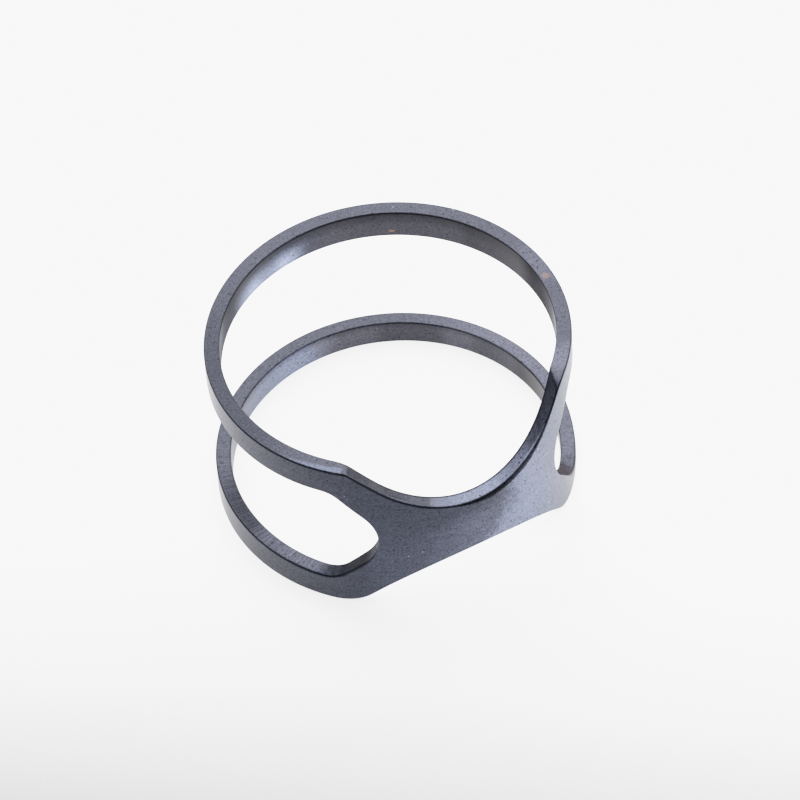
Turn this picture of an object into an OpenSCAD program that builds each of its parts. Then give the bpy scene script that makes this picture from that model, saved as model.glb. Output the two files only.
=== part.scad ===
/* [Band] */
// Inside diameter, the finger size
inner_d = 18; // [17:0.1:20]
// Thickness of the metal wall
wall = 0.8; // [0.6:0.05:1]
// Height of the tube that the ring is cut from
ring_h = 10.35; // [10:0.05:11]
// Height of the band above the window
upper_band_h = 1.7; // [1.4:0.05:2]
// Height of the band below the window
lower_band_h = 1.6; // [1.4:0.05:2]

/* [Front plate] */
// Depth of the two scoops, down from the upper end and up from the lower end
scoop_depth = 3.35; // [3:0.05:3.6]
// Radius of the scoops' round bottoms
scoop_r = 7.5; // [7:0.1:8]
// Slope of the scoops' straight sides, in degrees
scoop_slope = 46; // [44:0.5:48]
// Rounding where the lower scoop meets the lower end
foot_r = 2; // [1:0.1:2.4]
// Width of the plate between the window's two tips
waist_w = 10.8; // [9.6:0.1:11]

/* [Window] */
// Slope of the two slanted sides at each end, in degrees
tip_slope = 45; // [43:0.5:47]
// Rounding of each tip
tip_r = 2.8; // [2:0.1:2.9]
// Rounding between a slanted side and the upper band
upper_corner_r = 1.3; // [0.8:0.1:1.6]
// Rounding between a slanted side and the lower band
lower_corner_r = 2; // [1:0.1:2.4]

/* [Hidden] */
$fn = 96;
metal_colour = [0.36, 0.36, 0.4];
inner_r = inner_d / 2;
outer_r = inner_r + wall;
// How far each cut runs past the metal, and how far that is from the axis
over = 1;
reach = outer_r + over;
// Turn of an outline's rounding from one point to the next, in degrees
arc_step = 7.5;
// Lower and upper edge of the window, and the height of its tips
window_low = lower_band_h;
window_high = ring_h - upper_band_h;
tip_z = ring_h / 2;
// Direction of each tip, measured from the plate's middle
tip_dir = asin(waist_w / 2 / outer_r);

function unit(v) = v / norm(v);

// Points of a corner at b between a and c, rounded by radius r
function rounding(a, b, c, r) =
    let (
        u = unit(a - b),
        v = unit(c - b),
        half = acos(u * v) / 2,
        side = sign(u.x * v.y - u.y * v.x),
        turn = 180 - 2 * half,
        steps = ceil(turn / arc_step),
        centre = b + unit(u + v) * r / sin(half),
        spoke = b + u * r / tan(half) - centre
    )
    [for (i = [0:steps])
        let (t = -side * turn * i / steps)
        centre + [spoke.x * cos(t) - spoke.y * sin(t), spoke.x * sin(t) + spoke.y * cos(t)]];

// Outline through corners given as [x, height, rounding]
function outline(corners) =
    let (last = len(corners) - 1)
    [for (i = [0:last])
        let (
            a = corners[i == 0 ? last : i - 1],
            b = corners[i],
            c = corners[i == last ? 0 : i + 1]
        )
        each b.z == 0
            ? [[b.x, b.y]]
            : rounding([a.x, a.y], [b.x, b.y], [c.x, c.y], b.z)];

// How far a rounding of radius r stays from the point of its V
function cut_short(r, slope) = r / cos(slope) - r;

// Wide rounded V that dips into the plate from the upper end
module upper_scoop() {
    v_z = ring_h - scoop_depth - cut_short(scoop_r, scoop_slope);
    top_z = ring_h + over;
    top_x = (top_z - v_z) / tan(scoop_slope);
    rotate([90, 0, 0])
        linear_extrude(reach)
            polygon(outline([[-top_x, top_z, 0], [0, v_z, scoop_r], [top_x, top_z, 0]]));
}

// The same V from the lower end, where its two corners are eased
module lower_scoop() {
    v_z = scoop_depth + cut_short(scoop_r, scoop_slope);
    foot_x = v_z / tan(scoop_slope);
    end_x = foot_x + foot_r * tan(scoop_slope / 2);
    rotate([90, 0, 0])
        linear_extrude(reach)
            polygon(outline([
                [-end_x, -over, 0],
                [-end_x, 0, 0],
                [-foot_x, 0, foot_r],
                [0, v_z, scoop_r],
                [foot_x, 0, foot_r],
                [end_x, 0, 0],
                [end_x, -over, 0],
            ]));
}

// Half of the window: a slot with a blunt end, cut square to the wall at its tip
// and right through to the back, where it runs into the other half
module window_half() {
    v_x = -cut_short(tip_r, 90 - tip_slope);
    rotate([0, 0, tip_dir])
        rotate([90, 0, 0])
            linear_extrude(2 * reach, center = true)
                polygon(outline([
                    [v_x, tip_z, tip_r],
                    [v_x + (window_high - tip_z) / tan(tip_slope), window_high, upper_corner_r],
                    [reach, window_high, 0],
                    [reach, window_low, 0],
                    [v_x + (tip_z - window_low) / tan(tip_slope), window_low, lower_corner_r],
                ]));
}

// The whole ring is one piece of metal: a thin round tube with its scoops and window cut out
module ring() {
    color(metal_colour)
        difference() {
            cylinder(h = ring_h, r = outer_r);
            translate([0, 0, -over]) cylinder(h = ring_h + 2 * over, r = inner_r);
            upper_scoop();
            lower_scoop();
            window_half();
            mirror([1, 0, 0]) window_half();
        }
}

ring();
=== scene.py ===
import bmesh
import bpy
from math import degrees, exp, pi, radians
from mathutils import Euler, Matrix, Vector


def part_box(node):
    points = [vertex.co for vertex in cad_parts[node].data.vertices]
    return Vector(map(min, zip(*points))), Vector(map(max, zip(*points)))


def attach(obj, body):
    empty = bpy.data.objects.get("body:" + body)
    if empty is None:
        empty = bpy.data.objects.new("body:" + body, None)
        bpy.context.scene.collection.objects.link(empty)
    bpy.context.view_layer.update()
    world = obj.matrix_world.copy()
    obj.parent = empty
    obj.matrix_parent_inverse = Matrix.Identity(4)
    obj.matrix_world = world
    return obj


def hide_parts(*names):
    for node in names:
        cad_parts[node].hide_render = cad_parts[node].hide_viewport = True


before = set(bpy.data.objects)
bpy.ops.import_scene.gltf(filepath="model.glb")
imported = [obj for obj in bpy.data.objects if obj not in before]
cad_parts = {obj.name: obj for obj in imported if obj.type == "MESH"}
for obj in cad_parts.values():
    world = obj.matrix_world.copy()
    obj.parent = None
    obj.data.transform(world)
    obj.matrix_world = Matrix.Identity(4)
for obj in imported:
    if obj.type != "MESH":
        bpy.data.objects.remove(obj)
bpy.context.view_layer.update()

# The ring: one thin silver tube, cut with a saw and files and then blackened. Two round scoops
# leave a narrow plate at the front, and a window that runs round the back leaves two bands.
mm = 0.001
ring_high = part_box("ring")[1]
outer_r = ring_high.x
wall = 0.84 * mm
ring_h = ring_high.z
tip_z = ring_h / 2
# The tube is oval by this share of its radius. It leans a little: for each millimetre down it
# shifts by slant_x millimetres to the right and by slant_y to the back. The window was cut a
# little out of true round it, and is highest at lean_turn to the left of the plate's middle.
oval = 0.0087
oval_turn = radians(34.6)
slant_x = 0.0058
slant_y = -0.0028
lean_turn = radians(63)
# How far the edge is rounded at the two tips of the window
tip_rounding = 0.07 * mm


class Wire:
    """One output of a node tree. Sums on it are written as plain Python and become Math nodes."""

    def __init__(self, tree, socket):
        self.tree = tree
        self.socket = socket

    def maths(self, operation, *values):
        inputs = dict(enumerate(values))
        return self.tree.add("ShaderNodeMath", {"operation": operation}, inputs)

    def __add__(self, other):
        return self.maths("ADD", self, other)

    def __radd__(self, other):
        return self.maths("ADD", other, self)

    def __sub__(self, other):
        return self.maths("SUBTRACT", self, other)

    def __rsub__(self, other):
        return self.maths("SUBTRACT", other, self)

    def __mul__(self, other):
        return self.maths("MULTIPLY", self, other)

    def __rmul__(self, other):
        return self.maths("MULTIPLY", other, self)

    def __truediv__(self, other):
        return self.maths("DIVIDE", self, other)

    def __rtruediv__(self, other):
        return self.maths("DIVIDE", other, self)

    def __neg__(self):
        return self.maths("MULTIPLY", self, -1.0)

    def sin(self):
        return self.maths("SINE", self)

    def cos(self):
        return self.maths("COSINE", self)

    def tan(self):
        return self.maths("TANGENT", self)

    def arcsin(self):
        return self.maths("ARCSINE", self)

    def sign(self):
        return self.maths("SIGN", self)

    def size(self):
        return self.maths("ABSOLUTE", self)

    def above(self, other):
        return self.maths("GREATER_THAN", self, other)

    def below(self, other):
        return self.maths("LESS_THAN", self, other)

    def share(self, start, end, kind="LINEAR"):
        """0 up to start, 1 from end on, and even or eased between them"""
        inputs = {"Value": self, "From Min": start, "From Max": end}
        return self.tree.add("ShaderNodeMapRange", {"interpolation_type": kind}, inputs)

    def between(self, start, full, until, end):
        """0 outside start and end, 1 from full until until, and eased between them"""
        return self.share(start, full, "SMOOTHSTEP") * (1 - self.share(until, end, "SMOOTHSTEP"))

    def towards(self, other, share):
        return self + (other - self) * share

    def angle_from(self, other):
        """Angle in degrees of the point that lies this far across and the other value ahead"""
        return self.maths("ARCTAN2", self, other) * degrees(1)

    def to_root(self):
        return self.maths("SQRT", self)


class Tree:
    """A node tree that is being built, one node after another"""

    def __init__(self, tree):
        self.tree = tree

    def add(self, kind, settings=(), inputs=(), output=0):
        """Add a node: its settings first, then the values or links of its sockets"""
        node = self.tree.nodes.new(kind)
        for name, value in dict(settings).items():
            setattr(node, name, value)
        for name, value in dict(inputs).items():
            if isinstance(value, Wire):
                self.feed(value, node.inputs[name])
            else:
                node.inputs[name].default_value = value
        return Wire(self, node.outputs[output])

    def feed(self, wire, socket):
        self.tree.links.new(wire.socket, socket)

    def grey(self, shade):
        """The colour whose three parts are all this shade"""
        return self.add("ShaderNodeCombineXYZ", inputs={"X": shade, "Y": shade, "Z": shade})

    def parts(self, vector):
        """The three numbers of a vector"""
        node = self.add("ShaderNodeSeparateXYZ", inputs={"Vector": vector}).socket.node
        return [Wire(self, socket) for socket in node.outputs]

    def takes(self, **sockets):
        """Give a group its named inputs, each with its kind of number, and return them as wires"""
        for name, subtype in sockets.items():
            socket = self.tree.interface.new_socket(name, in_out="INPUT", socket_type="NodeSocketFloat")
            socket.subtype = subtype
        node = self.tree.nodes.new("NodeGroupInput")
        return {name: Wire(self, node.outputs[name]) for name in sockets}

    def gives(self, **wires):
        """Give a group its named outputs"""
        for name, wire in wires.items():
            kind = "NodeSocketGeometry" if wire.socket.type == "GEOMETRY" else "NodeSocketFloat"
            self.tree.interface.new_socket(name, in_out="OUTPUT", socket_type=kind)
        node = self.tree.nodes.new("NodeGroupOutput")
        for name, wire in wires.items():
            self.feed(wire, node.inputs[name])


def new_tree(name):
    return Tree(bpy.data.node_groups.new(name, "GeometryNodeTree"))


# Columns of the mesh, counted from the middle of the plate to the middle of the back. At the
# first ones the edges of the window and of the scoop start or stop bending. From deep_end on the
# band has its own height, and from worn_end on the roundings of its edges stay the same.
at_tip = 24
tip_end = 32
flank_end = 42
corner_end = 48
scoop_arc_end = 30
slope_end = 36
foot_end = 44
deep_end = 68
worn_end = 90
back = 120

# Rows of the mesh round its section: over the window's outer edge, up the outer wall, over the
# scoop's outer edge, across the end, over its inner edge, down the inner wall, over the
# window's inner edge and back under the window
wall_start = 4
wall_top = wall_start + 9
end_start = wall_top + 5
end_stop = end_start + 3
inner_top = end_stop + 5
inner_low = inner_top + 9
across = inner_low + 4
rows = across + 3


def edge_lines():
    """How far round the ring, and how high, a scoop's edge and the window's edge lie on one wall"""
    tree = new_tree("Edges on one wall")
    size = tree.takes(
        column="NONE", side="NONE", radius="DISTANCE",
        scoop_middle="DISTANCE", scoop_bottom="DISTANCE", scoop_radius="DISTANCE", scoop_slope="ANGLE",
        foot_radius="DISTANCE", end_height="DISTANCE",
        tip_turn="ANGLE", tip_radius="DISTANCE", tip_slope="ANGLE", corner_radius="DISTANCE",
        corner_height="DISTANCE", band_height="DISTANCE", band_lean="DISTANCE",
        away="DISTANCE",
    )
    column, side, radius = size["column"], size["side"], size["radius"]
    quarter_turn = radians(90)
    half_turn = radians(180) * side

    # The scoop's edge: a round bottom, a straight side, a small rounding and then the level end
    slope, scoop_r, foot_r = size["scoop_slope"], size["scoop_radius"], size["foot_radius"]
    rise = (size["end_height"] - size["scoop_bottom"]).size()
    straight = (rise - scoop_r * (1 - slope.cos())) / slope.sin() - foot_r * (slope / 2).tan()
    arc = slope * column.share(0, scoop_arc_end)
    side_share = column.share(scoop_arc_end, slope_end)
    left_over = slope * (1 - column.share(slope_end, foot_end))
    run = scoop_r * arc.sin() + straight * slope.cos() * side_share
    run = run + foot_r * (slope.sin() - left_over.sin())
    climb = scoop_r * (1 - arc.cos()) + straight * slope.sin() * side_share
    climb = climb + foot_r * (left_over.cos() - slope.cos())
    whole_run = scoop_r * slope.sin() + straight * slope.cos() + foot_r * slope.sin()
    scoop_turn = ((size["scoop_middle"] + side * run) / radius).arcsin()
    level_turn = ((size["scoop_middle"] + side * whole_run) / radius).arcsin()
    scoop_z = size["scoop_bottom"] + climb * (size["end_height"] - tip_z).sign()

    # The window's edge: the tip's rounding, a slanted side, a corner and then the band's level edge
    tip_slope, tip_r, corner_r = size["tip_slope"], size["tip_radius"], size["corner_radius"]
    height = (size["corner_height"] - tip_z).size()
    flank = height - tip_r * tip_slope.cos() - corner_r * (1 - tip_slope.cos())
    flank = flank / tip_slope.sin()
    tip_arc = (quarter_turn - tip_slope) * column.share(at_tip, tip_end)
    flank_share = column.share(tip_end, flank_end)
    corner_left = tip_slope * (1 - column.share(flank_end, corner_end))
    run = tip_r * (1 - tip_arc.cos()) + flank * tip_slope.cos() * flank_share
    run = run + corner_r * (tip_slope.sin() - corner_left.sin())
    climb = tip_r * tip_arc.sin() + flank * tip_slope.sin() * flank_share
    climb = climb + corner_r * (corner_left.cos() - tip_slope.cos())
    whole_run = tip_r * (1 - tip_slope.sin()) + flank * tip_slope.cos() + corner_r * tip_slope.sin()
    corner_turn = side * (size["tip_turn"] + (whole_run / radius).arcsin())
    level_share = column.share(corner_end, back)
    window_turn = side * (size["tip_turn"] * column.share(0, at_tip) + (run / radius).arcsin())
    window_turn = window_turn + (half_turn - corner_turn) * level_share
    along_band = column.share(corner_end, deep_end, "SMOOTHSTEP")
    level = size["corner_height"].towards(size["band_height"], along_band)
    lean = size["band_lean"] * (window_turn + lean_turn).cos()
    window_z = tip_z + climb / height * (level + lean - tip_z)

    # The line is moved into the metal, square to itself, where its edge is rounded
    tilt = (quarter_turn - tip_slope) * (1 - column.share(at_tip, tip_end)) + corner_left
    aside = size["away"] * tilt.sin() / radius * column.share(0, at_tip)
    window_z = window_z + size["away"] * tilt.cos() * (size["band_height"] - tip_z).sign()

    # Past its rounding the level end catches up with the window's edge and keeps pace with it
    catch_up = column.share(foot_end, corner_end)
    scoop_turn = scoop_turn + (corner_turn - level_turn) * catch_up * catch_up
    scoop_turn = scoop_turn + (half_turn - corner_turn) * level_share
    tree.gives(
        scoop_turn=scoop_turn, scoop_z=scoop_z,
        window_turn=window_turn - side * aside, window_z=window_z,
    )
    return tree.tree


def quarter_of_ring(edges):
    """A quarter of the ring: half a band and its share of the plate, bent from one flat strip"""
    tree = new_tree("Quarter of the ring")
    own = ("radius", "scoop_middle", "scoop_bottom", "scoop_radius", "scoop_slope", "foot_radius",
           "end_height", "tip_turn", "tip_radius", "tip_slope", "corner_radius", "corner_height",
           "band_height", "band_lean")
    every = (*own, "end_rounding", "window_rounding")
    names = ["side", *(f"{where}_{name}" for where in ("outer", "inner") for name in every)]
    size = tree.takes(**{name: "NONE" for name in names})

    # The strip's length is the way round the ring, its width the way round the section
    strip = tree.add("GeometryNodeMeshGrid", inputs={
        "Size X": 1.0, "Size Y": 1.0, "Vertices X": back + 1, "Vertices Y": rows + 1,
    })
    along_x, along_y = tree.parts(tree.add("GeometryNodeInputPosition"))[:2]
    column = (along_x + 0.5) * back
    row = (along_y + 0.5) * rows

    # Between the window's tips both halves of the plate are one, so nothing closes the strip there
    open_face = (row.below(wall_start) + row.above(inner_low)) * column.below(at_tip)
    strip = tree.add("GeometryNodeDeleteGeometry", {"domain": "FACE", "mode": "ALL"}, {
        "Geometry": strip, "Selection": open_face,
    })

    # How far each row of the window's two roundings lies from the sharp edge, along the wall
    to_full = column.share(at_tip, tip_end)
    outer_round = (size["outer_window_rounding"] - tip_rounding) * to_full + tip_rounding
    inner_round = (size["inner_window_rounding"] - tip_rounding) * to_full + tip_rounding
    first_arc = radians(90) * row.share(0, wall_start)
    last_arc = radians(90) * row.share(inner_low, across)
    away = outer_round * (1 - first_arc.cos())
    away = away + (inner_round - outer_round) * row.share(end_start, end_stop)
    away = away - inner_round * last_arc.sin()

    lines = {}
    for where in ("outer", "inner"):
        inputs = {"column": column, "away": away, "side": size["side"]}
        inputs |= {name: size[f"{where}_{name}"] for name in own}
        node = tree.add("GeometryNodeGroup", {"node_tree": edges}, inputs).socket.node
        lines[where] = {socket.name: Wire(tree, socket) for socket in node.outputs if socket.name}

    # Towards the back the end's outer edge is rounded less and its inner edge more
    to_back = column.share(foot_end, worn_end)
    outer_end = size["outer_end_rounding"] * (1 - 0.6 * to_back)
    inner_end = size["inner_end_rounding"] * (0.35 + 0.4 * to_back)

    # Share of the way up from the window to the scoop, and inwards from wall to wall. A narrow
    # row beside each rounding keeps the flat parts flat.
    outer_height = (lines["outer"]["scoop_z"] - lines["outer"]["window_z"]).size()
    inner_height = (lines["inner"]["scoop_z"] - lines["inner"]["window_z"]).size()
    outer_arc = radians(90) * row.share(wall_top, end_start)
    inner_arc = radians(90) * row.share(end_stop, inner_top)
    beside = 0.02 * mm
    outer_up, beside_up = outer_end / outer_height, beside / outer_height
    up = (row.share(wall_start, wall_start + 1) + row.share(wall_top - 1, wall_top)) * beside_up
    up = up + row.share(wall_start + 1, wall_top - 1) * (1 - outer_up - beside_up * 2)
    up = up + outer_up * outer_arc.sin()
    inner_up, beside_up = inner_end / inner_height, beside / inner_height
    up = up - inner_up * (1 - inner_arc.cos())
    up = up - (row.share(inner_top, inner_top + 1) + row.share(inner_low - 1, inner_low)) * beside_up
    up = up - row.share(inner_top + 1, inner_low - 1) * (1 - inner_up - beside_up * 2)

    beside_in = beside / wall
    steps_in = row.share(end_start, end_start + 1) + row.share(end_stop - 1, end_stop)
    steps_in = steps_in - row.share(across, across + 1) - row.share(rows - 1, rows)
    end_flat = 1 - (outer_end + inner_end) / wall - 2 * beside_in
    window_flat = 1 - (outer_round + inner_round) / wall - 2 * beside_in
    rounded_in = outer_round * (1 - first_arc.sin()) + outer_end * (1 - outer_arc.cos())
    rounded_in = rounded_in + inner_end * inner_arc.sin() - inner_round * (1 - last_arc.cos())
    inward = rounded_in / wall + steps_in * beside_in
    inward = inward + row.share(end_start + 1, end_stop - 1) * end_flat
    inward = inward - row.share(across + 1, rows - 1) * window_flat

    def on_section(name):
        outer, inner = lines["outer"], lines["inner"]
        at_window = outer[f"window_{name}"].towards(inner[f"window_{name}"], inward)
        at_scoop = outer[f"scoop_{name}"].towards(inner[f"scoop_{name}"], inward)
        return at_window.towards(at_scoop, up)

    turn = on_section("turn")
    radius = size["outer_radius"].towards(size["inner_radius"], inward)
    radius = radius * (1 - oval * (turn * 2 + oval_turn).sin())
    z = on_section("z")
    point = tree.add("ShaderNodeCombineXYZ", inputs={
        "X": radius * turn.sin() + slant_x * (tip_z - z),
        "Y": slant_y * (tip_z - z) - radius * turn.cos(),
        "Z": z,
    })
    bent = tree.add("GeometryNodeSetPosition", inputs={"Geometry": strip, "Position": point})
    tree.gives(geometry=bent)
    return tree.tree


def on_walls(outer, inner):
    """Sizes of one edge line on the outer wall and on the inner wall"""
    named = {f"outer_{name}": value for name, value in outer.items()}
    return named | {f"inner_{name}": value for name, value in inner.items()}


def end_sizes(middle, bottom, radius, end_height, rounding):
    return {
        "scoop_middle": middle * mm, "scoop_bottom": bottom * mm, "scoop_radius": radius * mm,
        "end_height": end_height * mm, "end_rounding": rounding * mm,
    }


def window_sizes(turn, tip_radius, slope, corner_radius, corner_height, band_height, lean, rounding):
    return {
        "tip_turn": radians(turn), "tip_radius": tip_radius * mm, "tip_slope": radians(slope),
        "corner_radius": corner_radius * mm, "corner_height": corner_height * mm,
        "band_height": band_height * mm, "band_lean": lean * mm, "window_rounding": rounding * mm,
    }


# The tables give millimetres and degrees, in the order of names in the two functions above. Each
# scoop was filed across the wall at a slight slant, so its outer and inner edges differ.
end_top = ring_h / mm
scoop_bottom = 7.01
scoop_radius = 7.44
lower_end = end_sizes(0, 3.36, 7.66, 0, 0.05)
scoops = {
    "upper": on_walls(
        end_sizes(0.01, scoop_bottom, scoop_radius, end_top, 0.14),
        end_sizes(0.17, 6.96, 7.18, end_top, 0.15),
    ),
    "lower": on_walls(lower_end, lower_end),
}
# Slope of each scoop's sides and the rounding where they meet the end, on the outer and inner wall
slopes = {
    "upper left": (43.6, 46.0),
    "upper right": (49.2, 50.4),
    "lower left": (47.7, 47.7),
    "lower right": (47.1, 47.1),
}
foot_radii = {
    "upper left": (0.1, 1.0),
    "upper right": (1.7, 0.2),
    "lower left": (2.2, 2.2),
    "lower right": (2.2, 2.2),
}
# The window was sawn by eye as well: its lower corners are rounder, and the right one is deeper
left_tip = 32.9
right_tip = 34.3
window_top = 8.62
upper_left = window_sizes(left_tip, 2.6, 45, 1.3, window_top, window_top, 0.05, 0.05)
upper_right = window_sizes(right_tip, 2.6, 45, 1.3, window_top, window_top, 0.05, 0.05)
windows = {
    "upper left": on_walls(upper_left, upper_left),
    "upper right": on_walls(upper_right, upper_right),
    "lower left": on_walls(
        window_sizes(left_tip, 2.97, 45.2, 1.95, 1.47, 1.62, 0.17, 0.12),
        window_sizes(left_tip, 2.72, 49.0, 1.66, 1.53, 1.64, 0.17, 0.11),
    ),
    "lower right": on_walls(
        window_sizes(right_tip, 3.4, 48.5, 2.4, 0.78, 1.62, 0.17, 0.12),
        window_sizes(right_tip, 2.8, 50.5, 2.3, 0.88, 1.64, 0.17, 0.11),
    ),
}
sides = {"left": -1.0, "right": 1.0}

# The skin: silver gone dark grey, lighter and bluer in patches, with fine sanding and file marks.
# Directions round the ring are in degrees, heights and distances in millimetres. A shade is the
# share of the light that comes back.
# Some of these shades are painted shade and painted highlights, and each is named where it stands.
blackened_silver = bpy.data.materials.new("blackened_silver")
blackened_silver.use_nodes = True
skin = Tree(blackened_silver.node_tree)
in_mm = skin.add("ShaderNodeVectorMath", {"operation": "SCALE"}, {
    "Vector": skin.add("ShaderNodeTexCoord", output="Object"), "Scale": 1 / mm,
})
x, y, z = skin.parts(in_mm)
facing_x, facing_y, facing_up = skin.parts(skin.add("ShaderNodeTexCoord", output="Normal"))
# Directions round the ring, counted to the right from the plate's middle and from the back's
turn = x.angle_from(-y)
back_turn = (-x).angle_from(y)
from_axis = (x * x + y * y).to_root()
facing_out = (facing_x * x + facing_y * y) / from_axis
# The same distance as it would be if the tube weren't oval
around = from_axis / (1 - oval * (turn * radians(2) + oval_turn).sin())


def noise(vector, scale, detail):
    inputs = {"Vector": vector, "Scale": scale, "Detail": detail, "Roughness": 0.6}
    return skin.add("ShaderNodeTexNoise", inputs=inputs, output="Fac") - 0.5


def dots(scale, size, kept):
    """Small round dots in the kept share of the cells of a random pattern"""
    inputs = {"Vector": in_mm, "Scale": scale}
    cells = skin.add("ShaderNodeTexVoronoi", inputs=inputs, output="Distance")
    chance = skin.parts(skin.add("ShaderNodeTexVoronoi", inputs=inputs, output="Color"))[0]
    return (1 - cells.share(size * 0.6, size)) * chance.below(kept)


def marks(across_marks, along_marks):
    """Fine straight marks: the first value changes fast across them, the second slowly along them"""
    inputs = {"X": across_marks, "Y": along_marks, "Z": z * 0.1}
    return noise(skin.add("ShaderNodeCombineXYZ", inputs=inputs), 1.0, 2.0)


def mixed(first, second, share):
    """A colour between two. In a Mix node the colours' sockets are told apart by number alone."""
    sockets = {0: share, 6: first, 7: second}
    return skin.add("ShaderNodeMix", {"data_type": "RGBA"}, sockets, 2)


def spot(across_way, along_way, size):
    """A round stain, from how far a place is from its middle two ways"""
    away = (across_way * across_way + along_way * along_way).to_root()
    return 1 - away.share(size * 0.4, size, "SMOOTHSTEP")


wander = noise(in_mm, 1.4, 3.0)
grain = noise(in_mm, 9.0, 3.0)
upward = facing_up.share(0.45, 0.75)
inside = (1 - around.share(9.15, 9.3)) * (1 - upward)
outside = 1 - upward - inside
upper_half = z.share(3, 5)

# The outer wall is darker towards its top, and low down at the left: this is painted shade. The plate's
# right half is lighter, its lower part most.
below_middle = 5.2 - z
outer_shade = 0.042 * (0.85 + 0.3 * below_middle.share(-1.6, 1.6))
outer_shade = outer_shade * (1 - 0.3 * below_middle.share(0.5, 2.5) * turn.between(-160, -110, -40, -28))
middle_skin = (turn - 14 * z.share(5.4, 6.4) + wander * 12).share(-21, -4)
middle_skin = middle_skin * (1 - 0.5 * turn.share(36, 50) - 0.5 * turn.share(110, 170))
right_skin = (turn + 9 * below_middle.share(0, 1.5) + wander * 16).share(9, 16, "SMOOTHSTEP")
right_skin = right_skin * (1 - turn.share(20, 40))
outer_shade = outer_shade + 0.030 * middle_skin + 0.088 * right_skin
dark_patch = (turn + wander * 14).between(-6, 0, 6, 11) * (z + wander).share(5.7, 6.4)
outer_shade = outer_shade * (1 - 0.28 * dark_patch)

# Under the scoop, to the right of its middle, the wall gets a dark and matt border: painted shade under
# the scoop's edge
above_bottom = z - (scoop_bottom + scoop_radius)
below_scoop = (x * x + above_bottom * above_bottom).to_root() - scoop_radius
wedge = 0.13 + 0.24 * turn.between(-10, 6, 18, 32)
painted_shade_under_scoop = 1 - ((below_scoop + grain * 0.12) / wedge).share(0.85, 1.25)
painted_shade_under_scoop = painted_shade_under_scoop * turn.between(-14, -4, 26, 34) * outside * z.above(5.2)
outer_shade = outer_shade * (1 - 0.85 * painted_shade_under_scoop)

# The upper end is darkest at its left, and the pale stripe along its outer edge beside the scoop there is
# a painted highlight. The scoop's face changes shade along its length, with one sharp border right across
# the wall.
end_shade = 0.036 + 0.020 * turn.between(42, 47, 52, 60) + 0.009 * turn.between(82, 90, 98, 106)
end_shade = end_shade - 0.013 * turn.between(-165, -105, -80, -50)
stripe_edge = 9.72 - 0.4 * turn.share(-66, -45)
painted_highlight_stripe = turn.between(-68, -54, -43.5, -43) * (around - stripe_edge).share(0, 0.12)
end_shade = end_shade + 0.030 * painted_highlight_stripe
scoop_shade = 0.050 - 0.021 * turn.share(-26, -18) + 0.031 * (turn + wander * 4).share(-16.2, -14.8)
scoop_shade = scoop_shade + 0.019 * turn.share(-12, -5) + 0.013 * turn.between(2, 5, 7, 10)
# Towards the right, where it rises, the scoop's face is painted darker: painted shade.
scoop_shade = scoop_shade - 0.032 * turn.share(3, 15) - 0.028 * turn.share(29, 35)
scoop_shade = scoop_shade - 0.010 * turn.between(15, 21, 24, 27)
# A light streak along the scoop's outer edge on the right is a painted highlight.
scoop_shade = scoop_shade + 0.05 * turn.between(17, 20, 26, 30) * around.share(9.55, 9.7)
on_scoop = (1 - z.share(end_top - 0.25, end_top - 0.1)) * (1 - turn.size().share(44, 50))

# The faces under the window, on top of the lower band and in the window's lower corners
low_shade = 0.034 + 0.017 * turn.between(56, 64, 115, 150) - 0.012 * turn.between(-110, -98, -84, -76)
low_shade = low_shade - 0.024 * (1 - (-turn).share(49, 55)) * turn.below(0)
low_shade = low_shade + 0.006 * turn.between(-72, -66, -56, -52) + 0.02 * turn.between(0, 1, 47, 55)
upward_shade = end_shade.towards(scoop_shade, on_scoop).towards(low_shade, 1 - z.share(3.5, 5))

# Inside, both bands have a pale patch at the back's left
upper_patch = (back_turn + wander * 8).share(-1, 12, "SMOOTHSTEP") * (1 - back_turn.share(28, 40))
upper_patch = upper_patch * (1 - (z + wander * 0.5).share(8.9, 10.0))
upper_patch = upper_patch * (1 - 0.4 * back_turn.between(11, 17, 20, 27))
upper_patch = upper_patch * (0.72 + 0.28 * z.share(8.6, 8.95)) * (1 + wander * 0.7)
upper_inside = 0.037 + 0.290 * upper_patch + 0.008 * back_turn.between(-20, -8, 60, 130)
# The upper band's inner wall is painted darker on the right and towards its top edge: painted shade.
upper_inside = upper_inside - 0.014 * turn.between(80, 86, 122, 128)
upper_inside = upper_inside * (1 - 0.6 * z.share(end_top - 0.9, end_top - 0.1))
low_patch = (back_turn + wander * 6).share(-10, 10, "SMOOTHSTEP") - 0.6 * back_turn.share(14, 44)
low_patch = low_patch * (1 - back_turn.share(60, 130))
lower_inside = 0.039 + 0.020 * back_turn.between(-26, -18, 60, 130) + 0.115 * low_patch
lower_inside = lower_inside + 0.024 * turn.between(118, 127, 131, 138)
# The lower band's inner wall is painted darker on the right and towards its top edge: painted shade.
lower_inside = lower_inside * (1 - 0.7 * turn.between(76, 90, 101, 108))
lower_inside = lower_inside * (1 - 0.5 * z.share(1.05, 1.5))
inner_shade = lower_inside.towards(upper_inside, upper_half)

shade = outer_shade.towards(inner_shade, inside).towards(upward_shade, upward)

# The window's curved ends are nearly black at the left and a matt brown-grey at the right
# At the right the brown is a stain and the lighter grey is painted light.
cut_face = 1 - facing_out.size().share(0.45, 0.75)
window_end = cut_face * (1 - upward)
low_corner = cut_face * (1 - facing_up.share(0.86, 0.985)) * facing_up.share(0, 0.2)
low_corner = low_corner * (1 - z.share(4.2, 5.2)) * (1 - turn.size().share(62, 66))
stain_and_painted_light_right_corner = low_corner * turn.above(0)
left_corner = low_corner * turn.below(0) * facing_up.share(0.6, 0.8)
shade = shade.towards(0.012 + 0.02 * turn.above(0), window_end)
shade = shade.towards(0.045 + wander * 0.05, stain_and_painted_light_right_corner).towards(0.016, left_corner)

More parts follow.
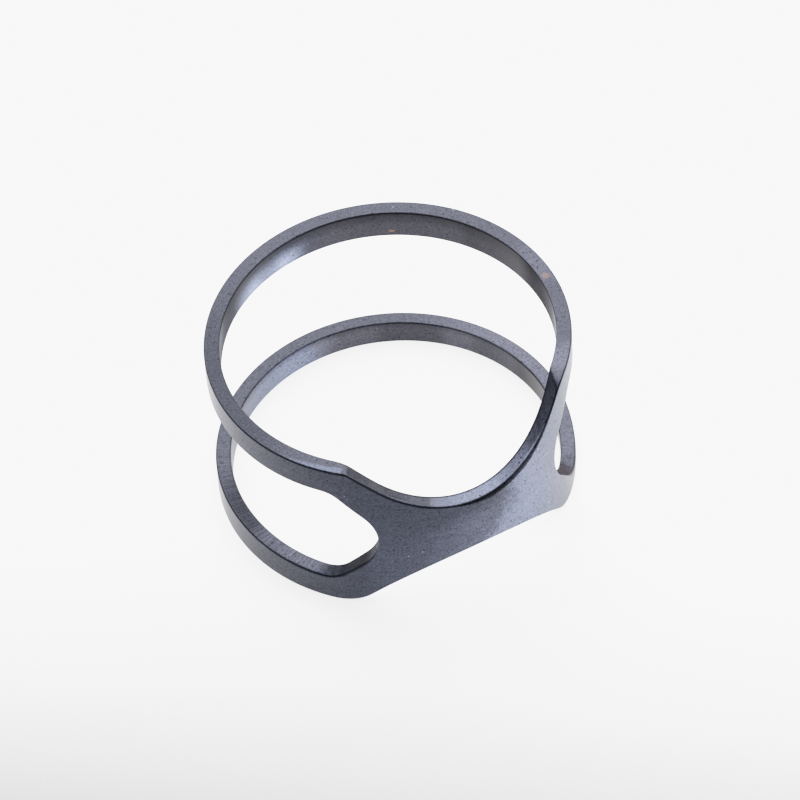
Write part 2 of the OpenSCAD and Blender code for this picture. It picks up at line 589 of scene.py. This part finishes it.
# The scoop's inner edge and the outer edges all round are darker than the faces beside them: painted shade
# for the dark room seen in their roundings
painted_shade_scoop_rim = (1 - around.share(9.02, 9.13)) * facing_up.share(0.1, 0.3) * (1 - turn.size().share(40, 46))
painted_shade_outer_rim = facing_up.between(0.15, 0.3, 0.8, 0.93) * facing_out.above(0.2)
shade = shade * (1 - 0.75 * painted_shade_scoop_rim) * (1 - 0.5 * painted_shade_outer_rim)

# Sanding marks run round the outer wall and file marks cross the cut faces, with grain over all
brushed = marks(z * 7, turn * 0.06) * outside
filed_most = (1 - z.share(2, 4)) * turn.between(-130, -110, 60, 70)
filed = marks(turn * 3.2 + around * 1.5, around * 0.3) * (upward + window_end) * (0.5 + 1.8 * filed_most)
scratched = on_scoop * upward * turn.between(8, 20, 60, 70)
filed = filed + 1.4 * scratched * marks(turn * 0.7 + around * 5.5, turn * 0.05)
pits = dots(3.4, 0.26, 0.4) * (0.5 + 0.4 * right_skin)
glints = dots(1.5, 0.07, 0.22)
shade = shade * (1 + grain * 2.0 + brushed * 0.6 + filed)
shade = shade * (1 - pits) * (1 + 3 * glints)

# One copper-coloured and one brown spot, and a painted whitish glint inside the upper band
copper_spot = spot((turn - 150.6) * 0.1, (z - 8.95) * 1.3, 0.15) * inside
brown_spot = spot((turn - 87) * 0.12 + wander * 0.3, (around - 9.3) * 0.8 + grain * 0.4, 0.24)
brown_spot = brown_spot * upward * z.above(9)
stains = copper_spot * 0.8 + brown_spot * 0.3 + stain_and_painted_light_right_corner * 0.1
painted_glint_inside = spot((back_turn - 57) * 0.05, (z - 9.9) * 0.6, 0.35) * inside
shade = shade + 0.07 * painted_glint_inside * (0.6 + grain * 3)

# The grey is a little blue everywhere, and bluer where it is lighter
neutral = (1.0, 1.0, 1.26, 1)
blue = (0.87, 1.0, 1.48, 1)
on_plate = turn.between(-50, -34, 70, 80)
blueness = outside * (0.55 + 0.25 * on_plate + 0.2 * turn.between(5, 15, 110, 170))
blueness = blueness + inside * (upper_patch * 2 + low_patch) * 0.8
blueness = blueness + upward * (0.3 + 0.5 * on_scoop * turn.share(-16, -12) + 0.5 * painted_highlight_stripe)
copper = (0.16, 0.10, 0.07, 1)
tinted = skin.add("ShaderNodeVectorMath", {"operation": "SCALE"}, {
    "Vector": mixed(neutral, blue, blueness), "Scale": shade,
})
stained = mixed(tinted, copper, stains)

# The skin is dull on part of the inner wall, at the scoop's inner edge, in the window's corners and
# under the scoop. Elsewhere it shines like bare metal.
dull = inside * 0.66 * turn.between(58, 80, 92, 102) * upper_half
dull = dull + inside * back_turn.between(30, 46, 60, 110) * (0.2 + 0.4 * upper_half)
dull = dull + 0.85 * painted_shade_scoop_rim + 0.95 * stain_and_painted_light_right_corner
dull = (dull + 0.7 * window_end * turn.below(0)).towards(0.9, left_corner).towards(0.85, painted_shade_under_scoop)
dull = dull + outside * (0.14 * turn.between(-102, -93, -78, -58) - 0.8 * grain + 0.3 * pits) + 0.03
surface = skin.tree.nodes["Principled BSDF"]
surface.inputs["Specular IOR Level"].default_value = 0.0
surface.inputs["Specular Tint"].default_value = (0.98, 0.98, 1.0, 1)
for name, wire in {"Base Color": stained, "Metallic": 1 - dull, "Roughness": 0.3 + grain * 0.12}.items():
    skin.feed(wire, surface.inputs[name])

# The four quarters, joined into one closed form
close = 0.001 * mm
ring_tree = new_tree("Ring")
ring_sizes = {"outer_radius": outer_r, "inner_radius": outer_r - wall}
radii = ring_tree.takes(outer_radius="DISTANCE", inner_radius="DISTANCE")
quarter = quarter_of_ring(edge_lines())
parts = []
for corner, window in windows.items():
    level, hand = corner.split()
    inputs = radii | window | scoops[level] | {"side": sides[hand]}
    for wall_name, slope, foot_radius in zip(("outer", "inner"), slopes[corner], foot_radii[corner]):
        inputs[f"{wall_name}_scoop_slope"] = radians(slope)
        inputs[f"{wall_name}_foot_radius"] = foot_radius * mm
    parts.append(ring_tree.add("GeometryNodeGroup", {"node_tree": quarter}, inputs))
joined = ring_tree.add("GeometryNodeJoinGeometry")
for part in parts:
    ring_tree.feed(part, joined.socket.node.inputs["Geometry"])
merged = ring_tree.add("GeometryNodeMergeByDistance", inputs={"Geometry": joined, "Distance": close})
whole = ring_tree.add("GeometryNodeRealizeInstances", inputs={"Geometry": merged})
coated = ring_tree.add("GeometryNodeSetMaterial", inputs={"Geometry": whole, "Material": blackened_silver})
ring_tree.gives(geometry=coated)


def made_by_tree(name, tree, values):
    """Run a tree with its inputs set and keep the plain mesh that it makes"""
    piece = bpy.data.objects.new(name, bpy.data.meshes.new(name))
    bpy.context.scene.collection.objects.link(piece)
    modifier = piece.modifiers.new("make", "NODES")
    modifier.node_group = tree
    for item in tree.interface.items_tree:
        if item.in_out == "INPUT":
            modifier[item.identifier] = values[item.name]
    made = piece.evaluated_get(bpy.context.evaluated_depsgraph_get())
    mesh = bpy.data.meshes.new_from_object(made)
    piece.modifiers.remove(modifier)
    piece.data = mesh
    mesh.name = name
    return piece


ring = made_by_tree("blackened_ring", ring_tree.tree, ring_sizes)
# Some quarters are mirror images of the strip, so their faces are turned outwards here
work = bmesh.new()
work.from_mesh(ring.data)
bmesh.ops.recalc_face_normals(work, faces=work.faces)
work.to_mesh(ring.data)
work.free()
ring.data.shade_smooth()
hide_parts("ring")
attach(ring, "root")

# The floor: a sheet of matt white acrylic, lit softly from below, so that hardly a shadow lies on
# it. Its glow falls off towards the front.
bpy.ops.mesh.primitive_plane_add(size=0.6)
floor = bpy.context.object
floor.name = "floor"
white = bpy.data.materials.new("matt_white")
white.use_nodes = True
sheet = white.node_tree.nodes["Principled BSDF"]
sheet.inputs["Base Color"].default_value = (0.35, 0.35, 0.35, 1)
sheet.inputs["Roughness"].default_value = 0.9
sheet.inputs["Emission Strength"].default_value = 0.66
glow = Tree(white.node_tree)
floor_x, floor_y = glow.parts(glow.add("ShaderNodeTexCoord", output="Object"))[:2]
frontwards = Vector((-0.59, -0.82))
to_front = (floor_x * frontwards.x + floor_y * frontwards.y) / mm
glow_share = 1 - 0.62 * to_front.share(4.7, 25.7) - 0.30 * to_front.share(15.5, 26)
glow.feed(glow.grey(glow_share), sheet.inputs["Emission Color"])
floor.data.materials.append(white)

# The light: one large soft panel that stands above the ring and behind it as the camera sees it,
# a little to the right of the camera's line
camera_turn = radians(-26.0)
panel_lamp = bpy.data.lights.new("soft_panel", "AREA")
panel_lamp.shape = "RECTANGLE"
panel_lamp.size = 1.4
panel_lamp.size_y = 1.0
panel_light = 2.35
panel_lamp.energy = panel_light * panel_lamp.size * panel_lamp.size_y * pi
panel = bpy.data.objects.new("soft_panel", panel_lamp)
bpy.context.scene.collection.objects.link(panel)
panel_away = 0.6
panel_turn = camera_turn - radians(5)
panel_up = radians(60)
facing = Euler((0, 0, panel_turn)).to_matrix() @ Euler((panel_up - radians(90), 0, 0)).to_matrix()
panel.matrix_world = facing.to_4x4()
panel.location = facing @ Vector((0, 0, panel_away))

# The room is dark overhead and below the floor, and its walls are a dim grey low down
world = bpy.data.worlds.new("dark_room")
bpy.context.scene.world = world
world.use_nodes = True
room = Tree(world.node_tree)
height = room.parts(room.add("ShaderNodeTexCoord", output="Generated"))[2]
brightness = 0.02 + 0.28 * height.between(0.02, 0.10, 0.42, 0.56)
room.feed(room.grey(brightness), world.node_tree.nodes["Background"].inputs["Color"])

# The photo is exposed so that the floor is all but white, which flattens the brightest tones. So
# the tones rise steeply at first and then level off just below white.
brightest = 0.984
steepness = 3


def shown_tone(light):
    """How bright a light is shown, where 1 is white"""
    return brightest * (1 - exp(-steepness * light))


tones = bpy.context.scene.view_settings
tones.view_transform = "Standard"
tones.use_curve_mapping = True
curves = tones.curve_mapping
curves.use_clip = False
whole_curve = curves.curves[3]
whole_curve.points[0].location = (0, 0)
most_light = 2.0
whole_curve.points[1].location = (most_light, shown_tone(most_light))
for light in (0.05, 0.1, 0.2, 0.35, 0.5, 0.75, 1.0, 1.5):
    whole_curve.points.new(light, shown_tone(light))
curves.update()

# The camera: above the ring's front, to the left of the plate, with a long lens. Its place is
# measured from the ring along its own right, up and back.
camera_tilt = radians(90 - 48.53)
camera_roll = radians(-3.57)
camera_place = Vector((0.20, 3.46, 272.55)) * mm
lens = bpy.data.cameras.new("camera")
lens.lens = 225
lens.sensor_width = 36
camera = bpy.data.objects.new("camera", lens)
bpy.context.scene.collection.objects.link(camera)
turned = Euler((0, 0, camera_turn)).to_matrix() @ Euler((camera_tilt, 0, 0)).to_matrix()
turned = turned @ Euler((0, 0, camera_roll)).to_matrix()
camera.matrix_world = turned.to_4x4()
camera.location = turned @ camera_place
bpy.context.scene.camera = camera
